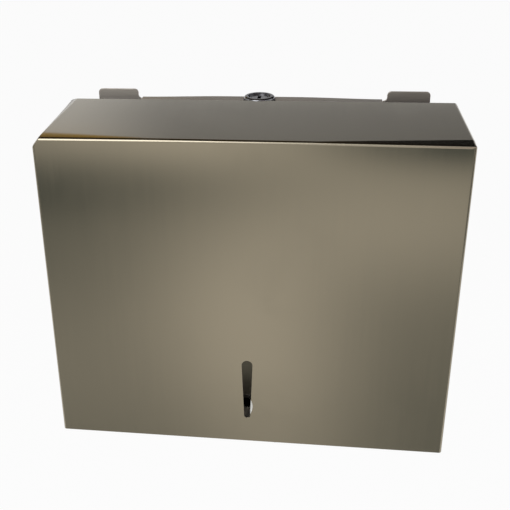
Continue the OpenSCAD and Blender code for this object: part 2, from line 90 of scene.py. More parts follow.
class Wires:
    """Adds nodes to one node tree and wires them up."""

    def __init__(self, tree: NodeTree) -> None:
        """Keeps the tree that the nodes go into."""
        self.tree = tree

    def feed(self, socket: NodeSocket, value: Feed) -> None:
        """Links a socket to another one, or sets its value.

        Args:
            socket: the input to fill.
            value: an output socket, or a plain value.
        """
        if isinstance(value, NodeSocket):
            self.tree.links.new(value, socket)
        elif socket.type == "RGBA":
            socket.default_value = (*value, 1.0)[:4]
        else:
            socket.default_value = value

    def node(self, kind: str, inputs: Optional[Mapping[Union[str, int], Feed]] = None,
             **settings: object) -> Node:
        """Adds a node.

        Args:
            kind: Blender's name of the node's type.
            inputs: what goes into its sockets, by name or number.
            **settings: the node's own properties.

        Returns:
            The new node.
        """
        made = self.tree.nodes.new(kind)
        for key, value in settings.items():
            setattr(made, key, value)
        for key, value in (inputs or {}).items():
            self.feed(made.inputs[key], value)
        return made

    def math(self, operation: str, a: Feed, b: Feed = 0.0) -> NodeSocket:
        """Adds a math node and returns its output."""
        return self.node("ShaderNodeMath", {0: a, 1: b}, operation=operation).outputs[0]

    def vector_math(self, operation: str, a: Feed, b: Feed = (0.0, 0.0, 0.0)) -> NodeSocket:
        """Adds a vector math node and returns its vector."""
        return self.node("ShaderNodeVectorMath", {0: a, 1: b}, operation=operation).outputs[0]

    def scaled(self, vector: Feed, factor: Feed) -> NodeSocket:
        """Multiplies a vector by a plain value and returns it."""
        return self.node("ShaderNodeVectorMath", {0: vector, "Scale": factor}, operation="SCALE").outputs[0]

    def level(self, normal: Feed) -> NodeSocket:
        """Returns 1 on level faces and 0 on upright ones."""
        return self.math("GREATER_THAN", self.math("ABSOLUTE", self.split(normal)[2]), LEVEL_COSINE)

    def ramp(self, value: Feed, low: float, high: float, to_low: float = 0.0,
             to_high: float = 1.0) -> NodeSocket:
        """Maps a value from one range to another with soft ends, and returns the result."""
        return self.node("ShaderNodeMapRange", {0: value, 1: low, 2: high, 3: to_low, 4: to_high},
                         interpolation_type="SMOOTHSTEP").outputs[0]

    def mix(self, share: Feed, a: Feed, b: Feed) -> NodeSocket:
        """Mixes two colours and returns the result."""
        return self.node("ShaderNodeMix", {0: share, 6: a, 7: b}, data_type="RGBA").outputs[2]

    def split(self, vector: Feed) -> Sequence[NodeSocket]:
        """Returns the x, y and z of a vector."""
        return self.node("ShaderNodeSeparateXYZ", {0: vector}).outputs

    def joined(self, x: Feed, y: Feed = 0.0, z: Feed = 0.0) -> NodeSocket:
        """Returns a vector made of x, y and z."""
        return self.node("ShaderNodeCombineXYZ", {0: x, 1: y, 2: z}).outputs[0]

    def noise(self, vector: Feed, detail: float, roughness: float = 0.5) -> NodeSocket:
        """Adds a noise texture and returns its value."""
        return self.node("ShaderNodeTexNoise", {"Vector": vector, "Scale": 1.0, "Detail": detail,
                                                "Roughness": roughness}).outputs[0]

    def group(self, tree: NodeTree, **inputs: Feed) -> Mapping[str, NodeSocket]:
        """Places a node group.

        Args:
            tree: the group.
            **inputs: what goes into it, by name, where an underscore stands for a space.

        Returns:
            Its outputs, by name.
        """
        named = {label.replace("_", " "): value for label, value in inputs.items()}
        return self.node("ShaderNodeGroup", named, node_tree=tree).outputs


def new_tree(name: str, kind: str, inputs: Mapping[str, str],
             *outputs: str) -> tuple[Wires, Mapping, Mapping]:
    """Starts a node group.

    Args:
        name: the group's name.
        kind: Shader, whose outputs are plain values, or Geometry.
        inputs: the kind of each input, by name.
        *outputs: the names of its outputs.

    Returns:
        The group's wires, its input sockets and its output sockets.
    """
    tree = bpy.data.node_groups.new(name, kind + "NodeTree")
    for label, socket in inputs.items():
        tree.interface.new_socket(label, in_out="INPUT", socket_type="NodeSocket" + socket)
    for label in outputs:
        socket = "Float" if kind == "Shader" else kind
        tree.interface.new_socket(label, in_out="OUTPUT", socket_type="NodeSocket" + socket)
    wires = Wires(tree)
    return wires, wires.node("NodeGroupInput").outputs, wires.node("NodeGroupOutput").inputs


Place = Sequence[NodeSocket]
Shade = Callable[[Wires, Place], Feed]


def sheet_grain() -> NodeTree:
    """Brush lines of a folded sheet, which run from side to side where Crossways is 1.

    Returns:
        The group, with the outputs Height and Tone from 0 to 1.
    """
    kinds = {"Position": "Vector", "Normal": "Vector", "Line Width": "Float", "Line Length": "Float",
             "Crossways": "Float"}
    wires, given, out = new_tree("sheet_grain", "Shader", kinds, "Height", "Tone")
    x, y, z = wires.split(given["Position"])
    level = wires.level(given["Normal"])
    upright = wires.math("SUBTRACT", 1.0, level)
    across = wires.math("ADD", x, wires.math("MULTIPLY", y, upright))
    along = wires.math("ADD", wires.math("MULTIPLY", z, upright), wires.math("MULTIPLY", y, level))
    usual = wires.joined(wires.math("DIVIDE", across, given["Line Width"]),
                         wires.math("DIVIDE", along, given["Line Length"]))
    turned = wires.joined(wires.math("DIVIDE", wires.math("ADD", y, z), given["Line Width"]),
                          wires.math("DIVIDE", x, given["Line Length"]))
    lines = wires.node("ShaderNodeMix", {0: given["Crossways"], 4: usual, 5: turned},
                       data_type="VECTOR").outputs[1]
    fine = wires.noise(lines, 3.0, 0.6)
    broad = wires.noise(wires.vector_math("MULTIPLY", lines, (0.11, 0.4, 1.0)), 2.0)
    wires.feed(out["Height"], wires.ramp(fine, 0.25, 0.75))
    tone = wires.math("MULTIPLY", wires.math("ADD", fine, broad), 0.5)
    wires.feed(out["Tone"], wires.ramp(tone, 0.3, 0.7))
    return wires.tree


def handling_marks() -> NodeTree:
    """Faint wipe and handling marks.

    Returns:
        The group, with the output Mask from 0 to 1.
    """
    wires, given, out = new_tree("handling_marks", "Shader", {"Position": "Vector", "Size": "Float"},
                                 "Mask")
    place = wires.scaled(given["Position"], wires.math("DIVIDE", 1.0, given["Size"]))
    cloud = wires.ramp(wires.noise(place, 3.0), 0.45, 0.75)
    smear = wires.noise(wires.vector_math("MULTIPLY", place, (6.0, 6.0, 2.0)), 4.0, 0.65)
    wires.feed(out["Mask"], wires.math("MULTIPLY", cloud, smear))
    return wires.tree


def turning_marks() -> NodeTree:
    """Turning marks around an axis along Z through the origin of the given position.

    Returns:
        The group, with the output Height from 0 to 1.
    """
    wires, given, out = new_tree("turning_marks", "Shader", {"Position": "Vector", "Pitch": "Float"},
                                 "Height")
    flat = wires.vector_math("MULTIPLY", given["Position"], (1.0, 1.0, 0.0))
    radius = wires.node("ShaderNodeVectorMath", {0: flat}, operation="LENGTH").outputs[1]
    depth = wires.split(given["Position"])[2]
    turns = wires.math("DIVIDE", wires.math("ADD", radius, depth), given["Pitch"])
    wires.feed(out["Height"], wires.noise(wires.joined(turns), 2.0))
    return wires.tree


def fine_skin() -> NodeTree:
    """Fine moulded or plated skin with slow mottling.

    Returns:
        The group, with the outputs Height and Mottle from 0 to 1.
    """
    wires, given, out = new_tree("fine_skin", "Shader", {"Position": "Vector", "Size": "Float"},
                                 "Height", "Mottle")
    place = wires.scaled(given["Position"], wires.math("DIVIDE", 1.0, given["Size"]))
    wires.feed(out["Height"], wires.noise(place, 4.0, 0.6))
    wires.feed(out["Mottle"], wires.ramp(wires.noise(wires.scaled(place, 0.12), 3.0), 0.35, 0.65))
    return wires.tree


class Effects:
    """The shader node groups that several finishes share."""

    def __init__(self) -> None:
        """Builds each group once."""
        self.grain = sheet_grain()
        self.marks = handling_marks()
        self.rings = turning_marks()
        self.skin = fine_skin()


def cleared(owner: Union[Material, World]) -> Wires:
    """Empties a node tree.

    Args:
        owner: the material, or the world, that it belongs to.

    Returns:
        The tree's wires.
    """
    owner.use_nodes = True
    owner.node_tree.nodes.clear()
    return Wires(owner.node_tree)


class Brushing(Enum):
    """Whether brush lines run up and down, and front to back on level faces, or from side to side."""

    UPRIGHT = "upright"
    CROSSWAYS = "crossways"


@dataclass(frozen=True)
class Finish:
    """What every finish has: two colours that mix, a roughness, and the depth of its relief."""

    name: str
    tint: Colour
    shade: Colour
    roughness: float
    relief: float

    def look(self, effects: Effects, wires: Wires, place: Mapping) -> dict[str, Feed]:
        """Returns the shader's inputs, by name, and the height of the relief as Height."""
        raise NotImplementedError

    def build(self, effects: Effects) -> Material:
        """Makes the material.

        Args:
            effects: the shared node groups.

        Returns:
            The finished material.
        """
        made = bpy.data.materials.new(self.name)
        wires = cleared(made)
        shader = wires.node("ShaderNodeBsdfPrincipled")
        wires.node("ShaderNodeOutputMaterial", {"Surface": shader.outputs[0]})
        look = self.look(effects, wires, wires.node("ShaderNodeTexCoord").outputs)
        bump = wires.node("ShaderNodeBump", {"Height": look.pop("Height"), "Distance": self.relief,
                                             "Strength": 1.0})
        for label, value in (look | {"Normal": bump.outputs[0]}).items():
            wires.feed(shader.inputs[label], value)
        return made


@dataclass(frozen=True)
class BrushedSteel(Finish):
    """Stainless sheet with brush lines that blur what it mirrors across them.

    Unevenness is how much the lines vary the roughness, and marks is how much handling marks dull the sheet.
    """

    roughness: float = 0.145
    relief: float = 0.0009 * MM
    brushing: Brushing = Brushing.UPRIGHT
    directional: float = 0.88
    line_width: float = 0.35 * MM
    line_length: float = 40 * MM
    unevenness: float = 0.04
    marks: float = 0.05
    mark_size: float = 60 * MM

    def look(self, effects: Effects, wires: Wires, place: Mapping) -> dict[str, Feed]:
        """Lays the brush lines, and turns the blur of the gloss across them.

        Args:
            effects: the shared node groups.
            wires: the material's wires.
            place: the texture coordinates.

        Returns:
            The shader's inputs and the relief's Height.
        """
        crossways = self.brushing is Brushing.CROSSWAYS
        grain = wires.group(effects.grain, Position=place["Object"], Normal=place["Normal"],
                            Line_Width=self.line_width, Line_Length=self.line_length,
                            Crossways=float(crossways))
        marks = wires.group(effects.marks, Position=place["Object"], Size=self.mark_size)["Mask"]
        rough = wires.ramp(grain["Tone"], 0.0, 1.0, self.roughness * (1.0 - self.unevenness),
                           self.roughness * (1.0 + self.unevenness))
        level = wires.level(place["Normal"])
        lines = (1.0, 0.0, 0.0) if crossways else wires.joined(0.0, level, wires.math("SUBTRACT", 1.0, level))
        across = wires.vector_math("CROSS_PRODUCT", place["Normal"], lines)
        tangent = wires.node("ShaderNodeVectorTransform", {0: across}, vector_type="VECTOR",
                             convert_from="OBJECT", convert_to="WORLD").outputs[0]
        return {"Metallic": 1.0, "Anisotropic": self.directional, "Tangent": tangent,
                "Base Color": wires.mix(grain["Tone"], self.shade, self.tint), "Height": grain["Height"],
                "Roughness": wires.math("ADD", rough, wires.math("MULTIPLY", marks, self.marks))}


@dataclass(frozen=True)
class TurnedMetal(Finish):
    """Metal turned on a lathe, with fine rings around its axis and marks that dull it."""

    relief: float = 0.01 * MM
    centre: Point = (0.0, 0.0, 0.0)
    turn: Point = (0.0, 0.0, 0.0)
    pitch: float = 0.25 * MM
    mark_size: float = 7 * MM
    dulling: float = 0.12

    def look(self, effects: Effects, wires: Wires, place: Mapping) -> dict[str, Feed]:
        """Lays the rings and the marks.

        Args:
            effects: the shared node groups.
            wires: the material's wires.
            place: the texture coordinates.

        Returns:
            The shader's inputs and the relief's Height.
        """
        centred = wires.node("ShaderNodeMapping", {"Vector": place["Object"], "Location": self.centre,
                                                   "Rotation": self.turn}, vector_type="TEXTURE").outputs[0]
        marks = wires.group(effects.marks, Position=place["Object"], Size=self.mark_size)["Mask"]
        return {"Height": wires.group(effects.rings, Position=centred, Pitch=self.pitch)["Height"],
                "Base Color": wires.mix(wires.ramp(marks, 0.1, 0.6), self.tint, self.shade), "Metallic": 1.0,
                "Roughness": wires.ramp(marks, 0.0, 0.6, self.roughness, self.roughness + self.dulling)}


@dataclass(frozen=True)
class FineSkin(Finish):
    """Plated, moulded or rubbery stuff with a fine skin: metal where metallic is 1."""

    relief: float = 0.02 * MM
    metallic: float = 0.0
    size: float = 0.4 * MM
    dulling: Span = (0.9, 1.15)

    def look(self, effects: Effects, wires: Wires, place: Mapping) -> dict[str, Feed]:
        """Lays the skin and its mottling.

        Args:
            effects: the shared node groups.
            wires: the material's wires.
            place: the texture coordinates.

        Returns:
            The shader's inputs and the relief's Height.
        """
        skin = wires.group(effects.skin, Position=place["Object"], Size=self.size)
        low, high = (self.roughness * share for share in self.dulling)
        return {"Height": skin["Height"], "Metallic": self.metallic,
                "Base Color": wires.mix(skin["Mottle"], self.tint, self.shade),
                "Roughness": wires.ramp(skin["Mottle"], 0.0, 1.0, low, high)}


def linked(name: str, data: bpy.types.ID) -> Object:
    """Puts an object into the scene.

    Args:
        name: its name.
        data: its mesh, lamp or camera.

    Returns:
        The object.
    """
    made = bpy.data.objects.new(name, data)
    bpy.context.scene.collection.objects.link(made)
    return made


def settled(piece: Object) -> Object:
    """Turns a piece and its modifiers into a plain mesh.

    Args:
        piece: the piece.

    Returns:
        The same piece, with no modifiers.
    """
    shaped = bpy.data.meshes.new_from_object(piece.evaluated_get(bpy.context.evaluated_depsgraph_get()))
    piece.modifiers.clear()
    piece.data = shaped
    shaped.name = piece.name
    return piece


def end_tree(wires: Wires, shape: Feed, finish: Feed, out: Mapping) -> None:
    """Ends a tree with real meshes that have their finish.

    Args:
        wires: the tree's wires.
        shape: the shape that it makes.
        finish: the shape's material.
        out: the tree's outputs.
    """
    real = wires.node("GeometryNodeRealizeInstances", {0: shape}).outputs[0]
    dressed = wires.node("GeometryNodeSetMaterial", {"Geometry": real, "Material": finish}).outputs[0]
    wires.feed(out["Mesh"], dressed)


def grown(tree: NodeTree, name: str, item: Optional[BMesh], **values: object) -> Object:
    """Runs a tree and keeps its result as a plain mesh.

    Args:
        tree: one of the trees.
        name: the new object's name.
        item: the mesh that goes in, which is freed, or None.
        **values: the tree's other inputs, by name.

    Returns:
        The new object.
    """
    start = bpy.data.meshes.new(name)
    if item:
        item.to_mesh(start)
        item.free()
        start.shade_smooth()
    piece = linked(name, start)
    grow = piece.modifiers.new("grow", "NODES")
    grow.node_group = tree
    for socket in tree.interface.items_tree:
        if socket.in_out == "INPUT" and socket.name in values:
            grow[socket.identifier] = values[socket.name]
    return settled(piece)


class Tools:
    """The Geometry Nodes that make what repeats or follows a path."""

    thread_steps = 48
    ridge_sides = 6

    def __init__(self) -> None:
        """Builds each tree once."""
        self.copies = self._copies()
        self.thread = self._thread()

    def _copies(self) -> NodeTree:
        """Sets copies of an item in a row or, turned about Z, in a ring.

        Returns:
            The tree.
        """
        kinds = {"Item": "Geometry", "Count": "Int", "Start": "Vector", "Step": "Vector", "Turn": "Float",
                 "Finish": "Material"}
        wires, given, out = new_tree("copies_of_an_item", "Geometry", kinds, "Mesh")
        index = wires.node("GeometryNodeInputIndex").outputs[0]
        place = wires.vector_math("ADD", given["Start"], wires.scaled(given["Step"], index))
        points = wires.node("GeometryNodePoints", {"Count": given["Count"], "Position": place}).outputs[0]
        turn = wires.joined(0.0, 0.0, wires.math("MULTIPLY", given["Turn"], index))
        turned = wires.node("FunctionNodeEulerToRotation", {0: turn}).outputs[0]
        placed = wires.node("GeometryNodeInstanceOnPoints", {"Points": points, "Instance": given["Item"],
                                                             "Rotation": turned}).outputs[0]
        end_tree(wires, placed, given["Finish"], out)
        return wires.tree

    def _thread(self) -> NodeTree:
        """Winds a thread around a barrel with two flats.

        Returns:
            The tree.
        """
        kinds = {"Radius": "Float", "Pitch": "Float", "Turns": "Float", "Depth": "Float", "Flat": "Float",
                 "Start": "Vector", "Finish": "Material"}
        wires, given, out = new_tree("barrel_thread", "Geometry", kinds, "Mesh")
        rise = wires.math("MULTIPLY", given["Pitch"], given["Turns"])
        path = wires.node("GeometryNodeCurveSpiral", {
            "Resolution": self.thread_steps, "Rotations": given["Turns"], "Start Radius": given["Radius"],
            "End Radius": given["Radius"], "Height": rise}).outputs[0]
        ridge = wires.node("GeometryNodeCurvePrimitiveCircle", {
            "Resolution": self.ridge_sides, "Radius": given["Depth"]}).outputs[0]
        wound = wires.node("GeometryNodeCurveToMesh", {
            "Curve": path, "Profile Curve": ridge, "Fill Caps": True}).outputs[0]
        x, y, z = wires.split(wires.node("GeometryNodeInputPosition").outputs[0])
        low = wires.math("MULTIPLY", given["Flat"], -1.0)
        kept = wires.math("MAXIMUM", wires.math("MINIMUM", y, given["Flat"]), low)
        place = wires.vector_math("ADD", wires.joined(x, kept, z), given["Start"])
        moved = wires.node("GeometryNodeSetPosition", {"Geometry": wound, "Position": place}).outputs[0]
        end_tree(wires, moved, given["Finish"], out)
        return wires.tree


def turned_form(profile: Sequence[Span], steps: int = 32) -> BMesh:
    """Turns a profile around Z into a closed form.

    Args:
        profile: radii and heights in millimetres, from axis to axis or as a closed loop.
        steps: the number of steps around the axis.

    Returns:
        The form, open for editing.
    """
    work = bmesh.new()
    circle = [(math.cos(2 * math.pi * k / steps), math.sin(2 * math.pi * k / steps)) for k in range(steps)]
    rows = [[work.verts.new((radius * MM * x, radius * MM * y, height * MM))
             for x, y in (circle if radius > 0.0 else circle[:1])] for radius, height in profile]
    pairs = list(zip(rows, rows[1:]))
    if len(rows[0]) > 1:
        pairs.append((rows[-1], rows[0]))
    for lower, upper in pairs:
        for k in range(steps):
            after = (k + 1) % steps
            ring = [lower[k % len(lower)], lower[after % len(lower)],
                    upper[after % len(upper)], upper[k % len(upper)]]
            work.faces.new(list(dict.fromkeys(ring)))
    bmesh.ops.recalc_face_normals(work, faces=work.faces)
    return work


def within(value: float, start: float, end: float) -> float:
    """Returns how far a value has come from start to end, from 0 to 1."""
    return max(0.0, min(1.0, (value - start) / (end - start)))


def cut(work: BMesh, place: Point, normal: Point) -> None:
    """Adds the edges along which a plane meets a mesh, so that it can be bent there.

    Args:
        work: the mesh.
        place: a point on the plane.
        normal: the plane's normal.
    """
    everything = work.verts[:] + work.edges[:] + work.faces[:]
    bmesh.ops.bisect_plane(work, geom=everything, plane_co=place, plane_no=normal, dist=SAME_PLACE / 20)


def workpiece(node: str) -> BMesh:
    """Copies a CAD node's mesh, with its points merged and its flat faces whole.

    Args:
        node: the CAD node's name.

    Returns:
        The copy, open for editing.
    """
    work = bmesh.new()
    work.from_mesh(frame["nodes"][node].data)
    bmesh.ops.remove_doubles(work, verts=work.verts, dist=SAME_PLACE)
    bmesh.ops.dissolve_limit(work, angle_limit=FLAT_ANGLE, verts=work.verts, edges=work.edges)
    return work


def finished(work: BMesh, name: str, material: Material, edge: float) -> Object:
    """Turns an edited mesh into an object with eased edges and smooth bends.

    Args:
        work: the edited mesh, which is freed.
        name: the new object's name.
        material: its material.
        edge: how wide its sharp edges are eased.

    Returns:
        The new object.
    """
    mesh = bpy.data.meshes.new(name)
    work.to_mesh(mesh)
    work.free()
    if "custom_normal" in mesh.attributes:
        mesh.attributes.remove(mesh.attributes["custom_normal"])
    mesh.materials.clear()
    mesh.materials.append(material)
    mesh.shade_smooth()
    piece = linked(name, mesh)
    if edge > 0.0:
        ease = piece.modifiers.new("eased edges", "BEVEL")
        ease.width = edge
        ease.segments = EASE_STEPS
        ease.limit_method = "ANGLE"
        ease.angle_limit = SHARP_ANGLE
        ease.use_clamp_overlap = False
    piece.modifiers.new("level faces", "WEIGHTED_NORMAL").weight = 50
    return settled(piece)


def seat(piece: Object, slot: str, *nodes: str, body: str = "") -> None:
    """Lets a piece ride on its body, in place of the CAD nodes that it stands for.

    Args:
        piece: the finished piece.
        slot: the record's material slot, which is not used.
        *nodes: the CAD nodes that it replaces.
        body: the body that it rides on, where it isn't the first node's.
    """
    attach(piece, body or frame["nodes"][nodes[0]]["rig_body"])
    if nodes:
        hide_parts(*nodes)
    LOG.info("%s: %d faces", piece.name, len(piece.data.polygons))


FINISHES = {
    "cover_steel": BrushedSteel("brushed_cover", (0.325, 0.289, 0.221), (0.314, 0.280, 0.216)),
    "body_steel": BrushedSteel("brushed_body", (0.600, 0.555, 0.500), (0.545, 0.505, 0.455),
                               roughness=0.38, relief=0.003 * MM, brushing=Brushing.CROSSWAYS,
                               directional=0.5, line_width=0.45 * MM),
    "rivet_steel": TurnedMetal("turned_rivet", (0.55, 0.54, 0.51), (0.42, 0.41, 0.39), roughness=0.22,
                               centre=(0.0, -110.5 * MM, -106 * MM), turn=(0.0, math.pi / 2, 0.0)),
    "lock_chrome": TurnedMetal("polished_chrome", (0.20, 0.20, 0.21), (0.14, 0.14, 0.145), roughness=0.14,
                               centre=(0.0, -12 * MM, 0.0), relief=0.003 * MM),
    "lock_zinc": FineSkin("zinc_plating", (0.56, 0.57, 0.58), (0.46, 0.47, 0.47), roughness=0.34,
                          metallic=1.0),
    "black_rubber": FineSkin("black_rubber", (0.022, 0.022, 0.023), (0.035, 0.034, 0.033), roughness=0.62),
    "washer_nylon": FineSkin("nylon", (0.70, 0.68, 0.60), (0.64, 0.62, 0.54), roughness=0.42,
                             relief=0.01 * MM),
    # painted glint: pale metal on the slot's rim that stands in for reflected light
    "painted_glint": FineSkin("painted_glint", (0.90, 0.89, 0.87), (0.84, 0.83, 0.81), roughness=0.42,
                            metallic=1.0),
}


@dataclass
class Cover:
    """The folded cover: its top has a sharp crease on the right, a soft hollow and a bent corner on the left.

    A blend is how far below the top a bend starts and where it is full. An ease is half the width of a turn.
    """

    materials: Mapping[str, Material]
    edge: float = 0.22 * MM
    step: float = 5 * MM
    row_step: float = 2 * MM
    rows: int = 7
    crease_start: float = 25 * MM
    crease_reach: float = 10.5 * MM
    crease_slope: float = 0.065
    crease_ease: float = 0.5 * MM
    hollow_start: float = 45 * MM
    hollow_reach: float = 14 * MM
    hollow_slope: float = 0.045
    fold_blend: Span = (8 * MM, 4 * MM)
    corner_w: float = 5 * MM
    corner_fall: float = 6 * MM
    corner_ease: float = 0.4 * MM
    corner_blend: Span = (9 * MM, 3 * MM)

    def _fall(self, point: Vector, low: Vector, high: Vector) -> float:
        """Returns how far a point of the sheet has come down.

        Args:
            point: the point on the sheet.
            low: the sheet's lower corner.
            high: its upper corner.

        Returns:
            The fall of the crease on the right or the hollow on the left, and of the bent corner.
        """
        folded = within(point.z, high.z - self.fold_blend[0], high.z - self.fold_blend[1])
        bent = within(point.z, high.z - self.corner_blend[0], high.z - self.corner_blend[1])
        bent *= within(-point.x, -low.x - self.corner_w, -low.x) * within(-point.y, -high.y, -low.y)
        behind = point.y - low.y
        if point.x > 0.0:
            reach = self.crease_reach * within(point.x, self.crease_start, high.x)
            fall = self.crease_slope * max(0.0, reach - behind)
        else:
            reach = self.hollow_reach * within(-point.x, self.hollow_start, -low.x)
            fall = self.hollow_slope * max(0.0, reach - behind) ** 2 / max(reach, MM)
        return fall * folded + self.corner_fall * bent

    def build(self) -> None:
        """Makes the cover's sheet."""
        low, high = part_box("front_cover")
        work = workpiece("front_cover")
        for shift in (-self.corner_ease, 0.0, self.corner_ease):
            cut(work, (low.x + self.corner_w + shift, 0.0, 0.0), (1.0, 0.0, 0.0))
        for k in range(1, int(high.x / self.step)):
            for side in (-1, 1):
                cut(work, (side * k * self.step, 0.0, 0.0), (1.0, 0.0, 0.0))
        for k in range(self.rows):
            cut(work, (0.0, low.y + (k + 1) * self.row_step, 0.0), (0.0, 1.0, 0.0))
        run = high.x - self.crease_start
        for gap in (-self.crease_ease, 0.0, self.crease_ease):
            cut(work, (self.crease_start, low.y + gap, 0.0), (-self.crease_reach, run, 0.0))
        for vertex in work.verts:
            vertex.co.z -= self._fall(vertex.co, low, high)
        sheet = finished(work, "cover_sheet", self.materials["cover_steel"], self.edge)
        seat(sheet, "cover_steel", "front_cover")


@dataclass
class SlotGlint:
    """Painted glint: a bright metal bead on the lower right rim of the sight slot, standing in for a crescent
    of reflected light.
    """

    materials: Mapping[str, Material]
    low_up: float = 24.3 * MM
    length: float = 12 * MM
    width: float = 1.5 * MM
    height: float = 0.16 * MM
    overlap: float = 0.05 * MM
    taper: float = 0.8
    slot_low: float = 20.6 * MM
    slot_length: float = 48.7 * MM
    slot_low_r: float = 2.2 * MM
    slot_top_r: float = 3.75 * MM
    rows: int = 24
    columns: int = 8

    def build(self) -> None:
        """Makes the painted glint: a low bright bead whose section is an arc and whose ends taper out."""
        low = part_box("front_cover")[0]
        start = self.slot_low + self.slot_low_r
        end = self.slot_low + self.slot_length - self.slot_top_r
        work = bmesh.new()
        rows = []
        for k in range(self.rows + 1):
            up = self.low_up + self.length * k / self.rows
            wider = (self.slot_top_r - self.slot_low_r) * within(up, start, end)
            rim = self.slot_low_r + wider - self.overlap
            swell = math.sin(math.pi * k / self.rows) ** self.taper
            arc = [(m / self.columns, math.sin(math.pi * m / self.columns)) for m in range(self.columns + 1)]
            rows.append([work.verts.new((rim + self.width * swell * over, low.y - self.height * swell * out,
                                         low.z + up)) for over, out in arc])
        for lower, upper in zip(rows, rows[1:]):
            for m in range(self.columns):
                work.faces.new((lower[m], lower[m + 1], upper[m + 1], upper[m]))
        work.normal_update()
        glint_bead = finished(work, "slot_glint", self.materials["painted_glint"], 0.0)
        seat(glint_bead, "rivet_steel", body="cover")


@dataclass
class Body:
    """The folded body, whose ledge sinks a little towards its two ends."""

    materials: Mapping[str, Material]
    edge: float = 0.25 * MM
    sag: float = 1.0 * MM
    level_x: float = 25 * MM
    end_x: float = 89.5 * MM
    slack: float = 0.1 * MM
    step: float = 6 * MM
    fold: float = 3 * MM

    def build(self) -> None:
        """Makes the body's sheet."""
        ledge_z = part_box("lock_gasket")[0].z
        work = workpiece("back_body")
        rows = int(self.end_x / self.step)
        for k in range(-rows, rows + 1):
            cut(work, (k * self.step, 0.0, 0.0), (1.0, 0.0, 0.0))
        for vertex in work.verts:
            if abs(vertex.co.x) <= self.end_x + self.slack:
                upper = within(vertex.co.z, ledge_z - 2.0 * self.fold, ledge_z - self.fold)
                out = within(abs(vertex.co.x), self.level_x, self.end_x)
                vertex.co.z -= self.sag * out * out * (3.0 - 2.0 * out) * upper
        seat(finished(work, "body_sheet", self.materials["body_steel"], self.edge), "body_steel", "back_body")


@dataclass(frozen=True)
class Pressing:
    """A CAD piece whose shape is right and whose sharp edges are eased, by so many millimetres."""

    node: str
    piece: str
    slot: str
    edge: float

    def build(self, materials: Mapping[str, Material]) -> None:
        """Makes the piece."""
        piece = finished(workpiece(self.node), self.piece, materials[self.slot], self.edge * MM)
        seat(piece, self.slot, self.node)


LOCK_PRESSINGS = (
    Pressing("lock_body", "lock_head", "lock_chrome", 0.15),
    Pressing("lock_gasket", "gasket", "black_rubber", 0.3),
    Pressing("lock_nut", "hex_nut", "lock_zinc", 0.4),
    Pressing("lock_plug", "plug", "lock_chrome", 0.2),
    Pressing("lock_cam", "cam", "lock_zinc", 0.2),
    Pressing("cam_washer", "plain_washer", "lock_zinc", 0.12),
    Pressing("cam_screw", "cross_screw", "lock_zinc", 0.2),
)

SHEET_PRESSINGS = (
    Pressing("towel_tray", "tray_sheet", "body_steel", 0.22),
    Pressing("keeper_stud", "keeper_pin", "rivet_steel", 0.3),
    *(Pressing(f"{node}_{side}", f"{piece}_{side}", slot, edge)
      for node, piece, slot, edge in (("hinge_rivet", "rivet", "rivet_steel", 0.35),
                                      ("hinge_washer", "washer", "washer_nylon", 0.2),
                                      ("cover_pad", "pad", "black_rubber", 0.35))
      for side in ("left", "right")),
)


@dataclass
class RivetRows:
    """The blind rivets that hold the tray, with their domed heads, spent mandrels and bulged tails.

    A rivet's sizes are in millimetres. The tail's form starts at its end, and the head's form on the cheek.
    """

    materials: Mapping[str, Material]
    tools: Tools
    count: int = 3
    head_r: float = 3.2
    head_h: float = 0.9
    grip: float = 2.2
    shank_r: float = 1.6
    bulge_r: float = 3.1
    tail: tuple[Span, ...] = ((0.0, 0.0), (0.85, 0.02), (0.95, 0.2), (1.5, 0.14), (2.5, 0.22), (3.05, 0.45),
                              (3.2, 0.7))
    dome: tuple[Span, ...] = ((3.2, 0.0), (3.2, 0.16), (3.05, 0.4), (2.6, 0.68), (1.9, 0.86), (1.25, 0.9),
                              (1.02, 0.84))
    mandrel: tuple[Span, ...] = ((0.95, 0.52), (0.85, 0.5), (0.8, 0.66), (0.5, 0.74), (0.0, 0.76))

    def _rivet(self) -> BMesh:
        """Returns one rivet at the origin, with its head upwards."""
        shank = ((self.bulge_r, -self.grip), (self.shank_r, -self.grip), (self.shank_r, 0.0))
        return turned_form([*((radius, up - self.grip - self.head_h) for radius, up in self.tail), *shank,
                            *self.dome, *self.mandrel])

    def build(self) -> None:
        """Makes the row on each side of the tray."""
        radius = self.head_r * MM
        for side, where in ((-1, "left"), (1, "right")):
            node = "tray_rivets_" + where
            low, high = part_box(node)
            outer = max(abs(low.x), abs(high.x)) - self.head_h * MM
            step = (high.y - low.y - 2.0 * radius) / (self.count - 1)
            rivet = self._rivet()
            outwards = Matrix.Rotation(math.radians(90 * side), 3, "Y")
            bmesh.ops.rotate(rivet, verts=rivet.verts, matrix=outwards)
            row = grown(self.tools.copies, "blind_rivets_" + where, rivet, Count=self.count,
                        Start=[side * outer, low.y + radius, (low.z + high.z) / 2.0],
                        Step=[0.0, step, 0.0], Finish=self.materials["rivet_steel"])
            seat(row, "rivet_steel", node)


